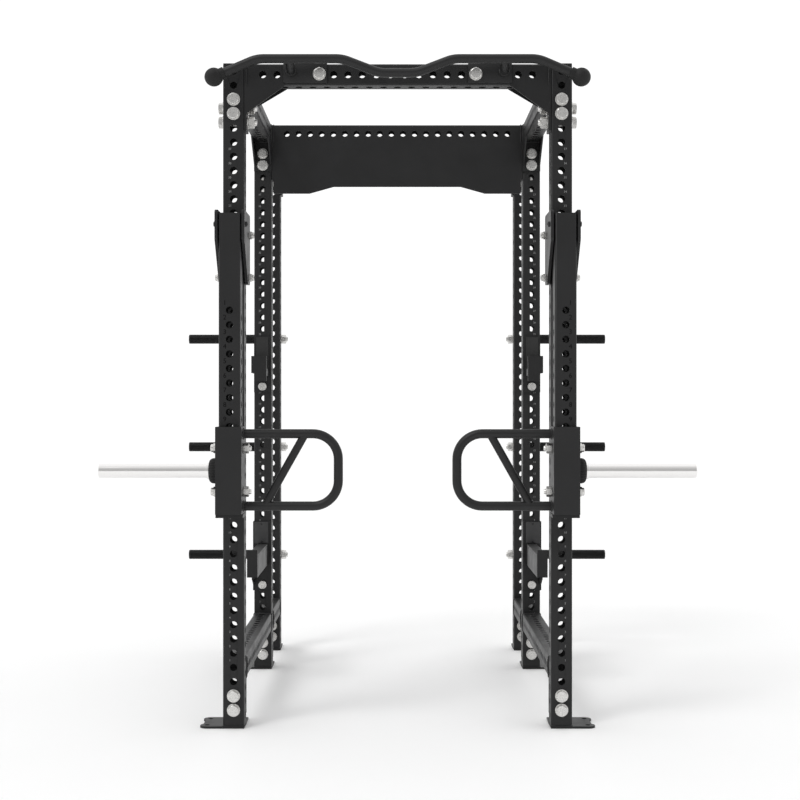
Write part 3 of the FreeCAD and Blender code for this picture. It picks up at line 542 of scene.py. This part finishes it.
bm = bmesh.new()
half = [(bar["endHalf"], bar["top"] - bar["endDrop"]), (bar["bendHalf"], bar["top"]),
        (bar["riseHalf"], bar["top"]), (bar["dipHalf"], bar["top"] - bar["dip"])]
route = [(x, barY, z) for x, z in half + [(-x, z) for x, z in reversed(half)]]
stamp(bm, bentTube(route, bar["bend"], bar["tube"], bendSteps=10), Matrix())
for side in sides.values():
    innerX, outerX = sorted((side * plate["inner"], side * plate["outer"]))
    back = (plateY - plate["thick"], plateY)
    stamp(bm, roundedSlab((innerX, back[0], plate["low"]), (outerX, back[1], plate["high"]),
                          plate["round"]), Matrix())
    for tabX in (plate["bolt"], bar["stubHalf"]):
        inset = plate["round"] / 2
        stamp(bm, roundedSlab((side * tabX - plate["tab"], back[0] + inset, plate["high"] - plate["tab"] / 2),
                              (side * tabX + plate["tab"], back[1] - inset, plate["high"] + plate["rise"]),
                              plate["round"]), Matrix())
    start = Vector((side * bar["stubHalf"], barY, bar["top"]))
    end = Vector((side * bar["stubHalf"], plateY - plate["thick"] / 2, bar["top"] - bar["stubFall"]))
    stamp(bm, bentTube([start, end], bar["bend"], bar["tube"]), Matrix())
    seam = end - (end - start).normalized() * plate["thick"] * plate["beadBack"]
    stamp(bm, weldBead(bar["tube"]), aimed(seam, start - end))
finishPiece(bm, "pullUpBarWelded", "frame", coat, ["pull_up_bar"])
print("pull-up bar made")

ball = {"radius": 32.5 * mm, "neck": 21 * mm, "neckLength": 16 * mm, "neckChamfer": 1.5 * mm,
        "seam": 0.6 * mm, "seamHalf": 1 * mm, "steps": 48, "lobes": 24, "open": 1.28}


def ballProfile():
    # half circle with a thin moulding seam round its widest line, then a short neck towards the bar
    points = []
    for step in range(ball["lobes"] + 1):
        turn = math.pi * step / ball["lobes"] / ball["open"]
        reach, height = ball["radius"] * math.sin(turn), ball["radius"] * math.cos(turn)
        points.append((reach + (ball["seam"] if abs(height) < ball["seamHalf"] else 0), height))
    end = -ball["radius"] - ball["neckLength"] / 2
    neck, chamfer = ball["neck"], ball["neckChamfer"]
    return points + [(neck, end + chamfer), (neck - chamfer, end), (0, end)]


bm = bmesh.new()
for side in sides.values():
    centre = Vector((side * bar["endHalf"], barY, bar["top"] - bar["endDrop"]))
    outward = Vector((side * (bar["endHalf"] - bar["bendHalf"]), 0, -bar["endDrop"]))
    stamp(bm, turned(ballProfile(), ball["steps"]), aimed(centre, outward))
finishPiece(bm, "barEndBalls", "frame", rubber, ["pull_up_bar_balls"])
print("bar ends made")

bumper = {"ribs": 28, "groove": 1.8 * mm, "dome": 14 * mm, "straight": 0.4, "domeSteps": 6,
          "foot": 1 * mm, "boreGap": 0.2 * mm, "reach": 0.1 * mm}
sleeve = {"radius": 25 * mm, "collar": 29 * mm, "collarThick": 8 * mm, "rim": 2.5 * mm, "plug": 17 * mm,
          "plugDepth": 1.5 * mm, "plugDraft": 0.8 * mm, "collarEase": 0.6 * mm, "collarEdge": 0.8 * mm,
          "steps": 64}


def ribbedDrum(radius, bore, thickness):
    # ring with a domed outer face and cosine ribs
    dome, start = bumper["dome"], thickness * bumper["straight"]
    profile = [(bore, 0), (radius - bumper["foot"], 0), (radius, bumper["foot"])]
    for step in range(bumper["domeSteps"] + 1):
        turn = math.pi / 2 * step / bumper["domeSteps"]
        profile.append((radius - dome * (1 - math.cos(turn)), start + (thickness - start) * math.sin(turn)))
    profile.append((bore, thickness))
    piece = turned(profile, bumper["ribs"] * 6, closed=True)
    for v in piece.verts:
        reach = math.hypot(v.co.x, v.co.y)
        if reach > radius - dome - bumper["reach"]:
            wave = math.cos(math.atan2(v.co.y, v.co.x) * bumper["ribs"])
            shrink = (reach - bumper["groove"] * max(0, wave)) / reach
            v.co.x *= shrink
            v.co.y *= shrink
    return piece


for sideName, side in sides.items():
    low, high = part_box(f"bumper_{sideName}")
    outward = (side, 0, 0)
    start = Vector((low.x if side > 0 else high.x, (low.y + high.y) / 2, (low.z + high.z) / 2))
    bm = bmesh.new()
    drum = ribbedDrum((high.z - low.z) / 2, sleeve["radius"] + bumper["boreGap"], high.x - low.x)
    stamp(bm, drum, aimed(start, outward))
    finishPiece(bm, f"bumperRibbed_{sideName}", f"lever_{sideName}", rubber,
                [f"bumper_{sideName}"])
    sleeveLow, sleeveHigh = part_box(f"weight_sleeve_{sideName}")
    length = sleeveHigh.x - sleeveLow.x
    face = high.x - low.x
    radius, rim, collar = sleeve["radius"], sleeve["rim"], sleeve["collar"]
    collarEnd = face + sleeve["collarThick"]
    profile = [
        (0, 0), (radius, 0), (radius, face), (collar - sleeve["collarEase"], face),
        (collar, face + sleeve["collarEase"]), (collar, collarEnd - sleeve["collarEdge"]),
        (collar - sleeve["collarEdge"], collarEnd), (radius, collarEnd), (radius, length - rim),
        (radius - rim, length), (sleeve["plug"], length),
        (sleeve["plug"] - sleeve["plugDraft"], length - sleeve["plugDepth"]),
        (0, length - sleeve["plugDepth"])]
    bm = bmesh.new()
    stamp(bm, turned(profile, sleeve["steps"]), aimed(start, outward))
    finishPiece(bm, f"sleeveChromed_{sideName}", f"lever_{sideName}", chrome,
                [f"weight_sleeve_{sideName}"])
print("bumpers and sleeves made")


smallBolt = {"flats": 30 * mm, "head": 20.5 * mm, "bracketFlats": 24 * mm, "bracketHead": 18 * mm,
             "bracketShank": 8 * mm, "shank": 10 * mm, "collar": 0.42, "collarRound": 2.5 * mm,
             "collarReach": 0.94, "collarSunk": 1 * mm, "shortestBolt": 50 * mm, "thinnestNut": 10 * mm}


def addLockNut(bm, flats, thickness, place):
    # flat collar, hexagon and a round nylon collar
    collar = thickness * smallBolt["collar"]
    stamp(bm, hexPrism(flats, thickness - collar, bothEnds=True), place)
    radius, bend = flats / 2 * smallBolt["collarReach"], smallBolt["collarRound"]
    start = thickness - collar - smallBolt["collarSunk"]
    stamp(bm, turned([(0, start), (radius, start), (radius, thickness - bend), (radius - bend, thickness),
                      (0, thickness)], fastener["ring"]), place)


for sideName, side in sides.items():
    bm = bmesh.new()
    for points in islandBoxes(f"carriage_bolts_{sideName}"):
        low, high = boxOf(points)
        if high.x - low.x > smallBolt["shortestBolt"]:
            head, nutEnd = (high.x, low.x) if side > 0 else (low.x, high.x)
            seat = Vector((head - side * smallBolt["head"], (low.y + high.y) / 2, (low.z + high.z) / 2))
            place = aimed(seat, (side, 0, 0))
            addLockNut(bm, smallBolt["flats"], smallBolt["head"], place)
            profile = shankProfile(smallBolt["shank"], abs(seat.x - nutEnd))
            stamp(bm, turned(profile, fastener["steps"]), place)
        elif high.x - low.x > smallBolt["thinnestNut"]:
            addNut(bm, points)
        else:
            addWasher(bm, points)
    finishPiece(bm, f"carriageBoltsThreaded_{sideName}", f"lever_{sideName}", zinc,
                [f"carriage_bolts_{sideName}"])


def alongX(point, way=1):
    return aimed(point, (way, 0, 0))


bm = bmesh.new()
for points in islandBoxes("bracket_bolts"):
    low, high = boxOf(points)
    middle = (low + high) / 2
    thickness = smallBolt["bracketHead"]
    for end, way in ((high.x - thickness, 1), (low.x + thickness, -1)):
        addLockNut(bm, smallBolt["bracketFlats"], thickness, alongX((end, middle.y, middle.z), way))
    shank = smallBolt["bracketShank"]
    stamp(bm, turned([(0, 0), (shank, 0), (shank, high.x - low.x), (0, high.x - low.x)], fastener["steps"]),
          alongX((low.x, middle.y, middle.z)))
finishPiece(bm, "bracketBoltsHex", "frame", zinc, ["bracket_bolts"])

button = {"radius": 9.5 * mm, "thick": 8 * mm, "edge": 3 * mm, "socket": 4.5 * mm, "socketDepth": 4 * mm,
          "socketEase": 0.4 * mm, "socketEdge": 0.8 * mm, "crown": 2.2 * mm, "crownDrop": 0.5 * mm,
          "shoulder": 0.6 * mm, "shank": 8 * mm}
bm = bmesh.new()
for points in islandBoxes("pivot_pins"):
    low, high = boxOf(points)
    middle = (low + high) / 2
    length = high.x - low.x
    reach = button["radius"]
    socket, socketDepth, edge = button["socket"], button["socketDepth"], button["edge"]
    head = [(0, socketDepth), (socket, socketDepth), (socket, button["socketEase"]),
            (socket + button["socketEdge"], 0), (reach - button["crown"], button["crownDrop"]),
            (reach - button["shoulder"], edge / 2), (reach, edge), (reach, button["thick"]),
            (button["shank"], button["thick"])]
    profile = head + [(radius, length - height) for radius, height in reversed(head)]
    stamp(bm, turned(profile, fastener["steps"]), alongX((low.x, middle.y, middle.z)))
finishPiece(bm, "pivotPinsButton", "frame", oxide, ["pivot_pins"])
print("small fasteners made")

peg = {"radius": 21.2 * mm, "round": 1.5 * mm, "recess": 3 * mm, "wall": 4.5 * mm, "draft": 0.45 * mm,
       "stud": 12 * mm}
for sideName, side in sides.items():
    tubes, studs = bmesh.new(), bmesh.new()
    for points in islandBoxes(f"storage_pegs_{sideName}"):
        low, high = boxOf(points)
        tip, stub = (high.x, low.x) if side > 0 else (low.x, high.x)
        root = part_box(f"upright_rear_{sideName}")
        rootX = root[1].x if side > 0 else root[0].x
        y, z = (low.y + high.y) / 2, (low.z + high.z) / 2
        r, b, length = peg["radius"], peg["round"], abs(tip - rootX)
        inner, bottom = r - peg["wall"], length - peg["recess"]
        place = alongX((rootX, y, z), side)
        stamp(tubes, turned([(0, 0), (r, 0), (r, length - b), (r - b, length), (inner, length),
                             (inner - peg["draft"], bottom), (0, bottom)], fastener["ring"]), place)
        stamp(tubes, weldBead(r), place)
        stamp(studs, turned(shankProfile(peg["stud"], abs(rootX - stub)), fastener["steps"]), place)
    finishPiece(tubes, f"pegTubes_{sideName}", "frame", coat, [f"storage_pegs_{sideName}"])
    finishPiece(studs, f"pegStuds_{sideName}", "frame", zinc)
print("storage pegs made")

lockPin = {"head": 17.5 * mm, "headThick": 20 * mm, "shank": 12 * mm, "knurls": 40, "knurl": 0.7 * mm,
           "chamfer": 1.8 * mm, "nose": 4 * mm, "dish": 0.8 * mm, "dishRim": 6 * mm, "dishEdge": 5.2 * mm,
           "groove": 1.2 * mm, "grooveSpan": (14 * mm, 10 * mm), "grooveSlope": 1 * mm,
           "knurlMargin": 0.9, "knurlReach": 0.1 * mm}
for sideName in sides:
    for holder, body in (("bar_cup_pin", "cup_pin"), ("safety_arm_pin", "safety_pin")):
        low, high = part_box(f"{holder}_{sideName}")
        start = Vector(((low.x + high.x) / 2, low.y, (low.z + high.z) / 2))
        length = high.y - low.y
        r, t, c = lockPin["head"], lockPin["headThick"], lockPin["chamfer"]
        shank, nose, groove = lockPin["shank"], lockPin["nose"], lockPin["groove"]
        dish, slope = lockPin["dish"], lockPin["grooveSlope"]
        back, fore = (length - reach for reach in lockPin["grooveSpan"])
        profile = [(0, dish), (r - lockPin["dishRim"], dish), (r - lockPin["dishEdge"], 0), (r - c, 0),
                   (r, c), (r, t - c), (r - c, t), (shank, t), (shank, back),
                   (shank - groove, back + slope), (shank - groove, fore - slope), (shank, fore),
                   (shank, length - nose), (shank - nose, length), (0, length)]
        piece = turned(profile, lockPin["knurls"] * 4)
        margin = c * lockPin["knurlMargin"]
        for v in piece.verts:
            if margin < v.co.z < t - margin and v.co.xy.length > r - lockPin["knurlReach"]:
                swing = 1 + math.cos(math.atan2(v.co.y, v.co.x) * lockPin["knurls"])
                wave = 1 - lockPin["knurl"] / r * swing / 2
                v.co.x *= wave
                v.co.y *= wave
        bm = bmesh.new()
        stamp(bm, piece, aimed(start, (0, 1, 0)))
        pinSlot = slotOf[f"{holder}_{sideName}"]
        finishPiece(bm, f"{body}Knurled_{sideName}", f"{body}_{sideName}", slotFinish[pinSlot],
                    [f"{holder}_{sideName}"])
print("lock pins made")

pad = {"round": 2 * mm, "segments": 3,
       # (radius, height) shares of a screw head's size
       "screw": ((0, 0), (1, 0), (1, 0.3), (0.8, 0.75), (0.5, 1), (0.42, 1), (0.42, 0.3), (0, 0.3))}
bm = bmesh.new()
for points in islandBoxes("safety_arm_pads"):
    stamp(bm, roundedSlab(*boxOf(points), pad["round"], pad["segments"]), Matrix())
padSlot = slotOf["safety_arm_pads"]
finishPiece(bm, "safetyPadsMoulded", "frame", slotFinish[padSlot], ["safety_arm_pads"])
bm = bmesh.new()
for points in islandBoxes("pad_screws"):
    low, high = boxOf(points)
    axis = min(range(3), key=lambda i: (high - low)[i])
    r, t = (high.z - low.z) / 2, (high - low)[axis]
    direction = Vector((0, 0, 0))
    direction[axis] = -1 if axis == 1 else (-1 if low.x > 0 else 1)
    middle = (low + high) / 2
    middle[axis] = high[axis] if direction[axis] < 0 else low[axis]
    profile = [(r * out, t * up) for out, up in pad["screw"]]
    stamp(bm, turned(profile, fastener["steps"]), aimed(middle, direction))
finishPiece(bm, "padScrewsDomed", "frame", oxide, ["pad_screws"])
print("pads made")

beamWeld = {"plate": 8 * mm, "half": 37.5 * mm, "lowTop": 240 * mm}
bm = bmesh.new()
for name in ("crossmember_front", "crossmember_rear", "header_crossmember"):
    low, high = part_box(name)
    middle = ((low.y + high.y) / 2 if name != "header_crossmember" else high.y - beamWeld["half"])
    for endX, way in ((low.x + beamWeld["plate"], 1), (high.x - beamWeld["plate"], -1)):
        stamp(bm, weldBead(beamWeld["half"], square=True),
              aimed((endX, middle, high.z - beamWeld["half"]), (way, 0, 0)))
for sideName in sides:
    for bay in ("front", "rear"):
        for level in ("top", "low"):
            low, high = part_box(f"beam_{bay}_{level}_{sideName}")
            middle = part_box(f"upright_front_{sideName}")
            x = (middle[0].x + middle[1].x) / 2
            z = (high.z if level == "top" else beamWeld["lowTop"]) - beamWeld["half"]
            for endY, way in ((low.y + beamWeld["plate"], 1), (high.y - beamWeld["plate"], -1)):
                stamp(bm, weldBead(beamWeld["half"], square=True), aimed((x, endY, z), (0, way, 0)))
    for row in ("front", "middle", "rear"):
        low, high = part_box(f"upright_{row}_{sideName}")
        stamp(bm, weldBead(beamWeld["half"], square=True),
              aimed(((low.x + high.x) / 2, (low.y + high.y) / 2, low.z), (0, 0, 1)))
finishPiece(bm, "frameWelds", "frame", coat)
print("welds made")

plainNodes = ["foot_plates", "crossmember_front", "crossmember_rear", "header_crossmember", "upright_caps",
              "bracket_liners", "thrust_washers", "safety_arm_liners"]
for sideName in sides:
    plainNodes += [f"upright_{row}_{sideName}" for row in ("front", "middle", "rear")]
    plainNodes += [f"beam_{bay}_{level}_{sideName}" for bay in ("front", "rear") for level in ("top", "low")]
    plainNodes += [f"{part}_{sideName}" for part in (
        "pivot_bracket_outer", "pivot_bracket_inner", "lever_arm", "carriage", "bar_cup",
        "bar_cup_liner", "safety_arm")]
for name in plainNodes:
    softenEdges(nodes[name], edges["width"])
print("edges softened on", len(plainNodes), "nodes")


studio = {"floorSize": 60.0, "floorTone": 0.96, "sky": 1.08, "skyFront": 0.45, "skyTurn": 0.1, "sun": 0.7,
          "sunSoftness": 18, "sunFrom": (-0.55, -0.62, 1.0)}

bm = bmesh.new()
bmesh.ops.create_grid(bm, x_segments=1, y_segments=1, size=studio["floorSize"] / 2)
floorMesh = bpy.data.meshes.new("floor")
bm.to_mesh(floorMesh)
bm.free()
floor = bpy.data.objects.new("floor", floorMesh)
bpy.context.scene.collection.objects.link(floor)
floorPaint = newMaterial("floorPaint", (studio["floorTone"],) * 3, 0.75, specular=0.2)
addRange(floorPaint, "Roughness", 0.7, 0.8, 2)
floor.data.materials.append(floorPaint)

world = bpy.data.worlds.new("studioSky")
world.use_nodes = True
sky = world.node_tree
direction = sky.nodes.new("ShaderNodeTexCoord")
split = sky.nodes.new("ShaderNodeSeparateXYZ")
fade = sky.nodes.new("ShaderNodeMapRange")
fade.inputs["From Min"].default_value = -1.0
fade.inputs["From Max"].default_value = studio["skyTurn"]
fade.inputs["To Min"].default_value = studio["skyFront"]
fade.inputs["To Max"].default_value = studio["sky"]
sky.links.new(direction.outputs["Generated"], split.inputs["Vector"])
sky.links.new(split.outputs["Y"], fade.inputs["Value"])
sky.links.new(fade.outputs["Result"], sky.nodes["Background"].inputs["Strength"])
sky.nodes["Background"].inputs["Color"].default_value = (1, 1, 1, 1)
bpy.context.scene.world = world

sun = bpy.data.lights.new("softSun", "SUN")
sun.energy = studio["sun"]
sun.angle = math.radians(studio["sunSoftness"])
sunHolder = bpy.data.objects.new("softSun", sun)
sunHolder.rotation_euler = (-Vector(studio["sunFrom"])).to_track_quat("-Z", "Y").to_euler()
bpy.context.scene.collection.objects.link(sunHolder)
bpy.context.scene.view_settings.view_transform = "Standard"

view = {"lens": 66.57, "x": -8.4 * mm, "back": 5207.8 * mm, "height": 1154.6 * mm,
        "shiftX": 0.006, "shiftY": 0.00075}
camera = bpy.data.cameras.new("camera")
camera.lens = view["lens"]
camera.sensor_width = 36
camera.shift_x = view["shiftX"]
camera.shift_y = view["shiftY"]
eye = bpy.data.objects.new("camera", camera)
eye.location = (view["x"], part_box("upright_front_right")[0].y - view["back"], view["height"])
eye.rotation_euler = (math.pi / 2, 0, 0)
bpy.context.scene.collection.objects.link(eye)
bpy.context.scene.camera = eye
print("studio ready")
